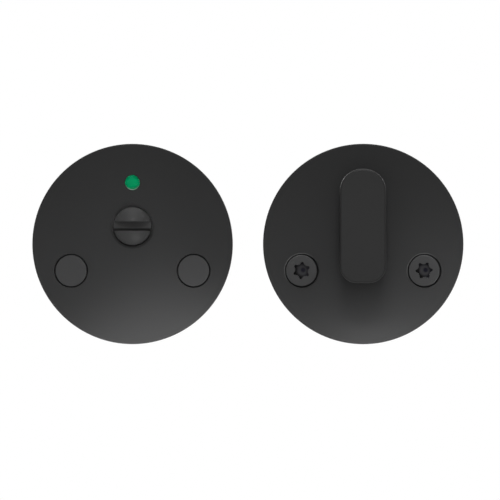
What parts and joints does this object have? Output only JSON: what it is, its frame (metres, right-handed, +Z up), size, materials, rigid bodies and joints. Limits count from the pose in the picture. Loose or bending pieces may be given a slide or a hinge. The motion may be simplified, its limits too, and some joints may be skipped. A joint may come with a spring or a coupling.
{
  "type": "bathroom thumb turn lock",
  "caption": "Two round black roses for a bathroom door: a coin release with an occupied indicator, and a thumb turn with its spindle and through screws.",
  "frame": {"origin": "the thumb turn's spindle axis where it meets the door's surface, at the inner rose's back face", "axes": "+Y into the door along the spindle, away from the faces; +Z up; +X to the right for someone who looks at the faces, with the outside half at -X"},
  "size_m": [0.1119, 0.065, 0.052],
  "materials": {
    "black_coat": "satin black coat",
    "black_oxide": "blackened steel",
    "zinc_steel": "zinc plated",
    "spring_steel": "oiled spring steel",
    "pale_nylon": "moulded",
    "black_nylon": "moulded",
    "clear_lens": "clear polycarbonate"
  },
  "bodies": {
    "root": {"outer_rose": "black_coat", "inner_rose": "black_coat", "left_sleeve_nut": "black_coat", "right_sleeve_nut": "black_coat", "left_through_screw": "black_oxide", "right_through_screw": "black_oxide", "cover_plate": "zinc_steel", "cover_screws": "zinc_steel", "turn_stop_pin": "zinc_steel", "release_stop_pin": "zinc_steel", "turn_wave_washer": "spring_steel", "release_wave_washer": "spring_steel", "turn_bush": "black_nylon", "release_bush": "pale_nylon", "turn_slip_washer": "black_nylon", "release_slip_washer": "black_nylon", "indicator_lens": "clear_lens"},
    "turn": {"thumb_turn": "black_coat", "stop_disc": "zinc_steel", "retaining_ring": "spring_steel", "spindle": "zinc_steel", "spindle_set_screw": "black_oxide"},
    "release": {"release_turn": "black_coat", "indicator_disc": "black_nylon"}
  },
  "joints": [
    {"name": "turn_hinge", "type": "hinge", "parent": "root", "child": "turn", "pos_m": [0, 0, 0], "axis": [0, 1, 0], "range_deg": [0, 90]},
    {"name": "release_hinge", "type": "hinge", "parent": "root", "child": "release", "pos_m": [-0.0599, 0, 0], "axis": [0, -1, 0], "range_deg": [0, 90]}
  ]
}
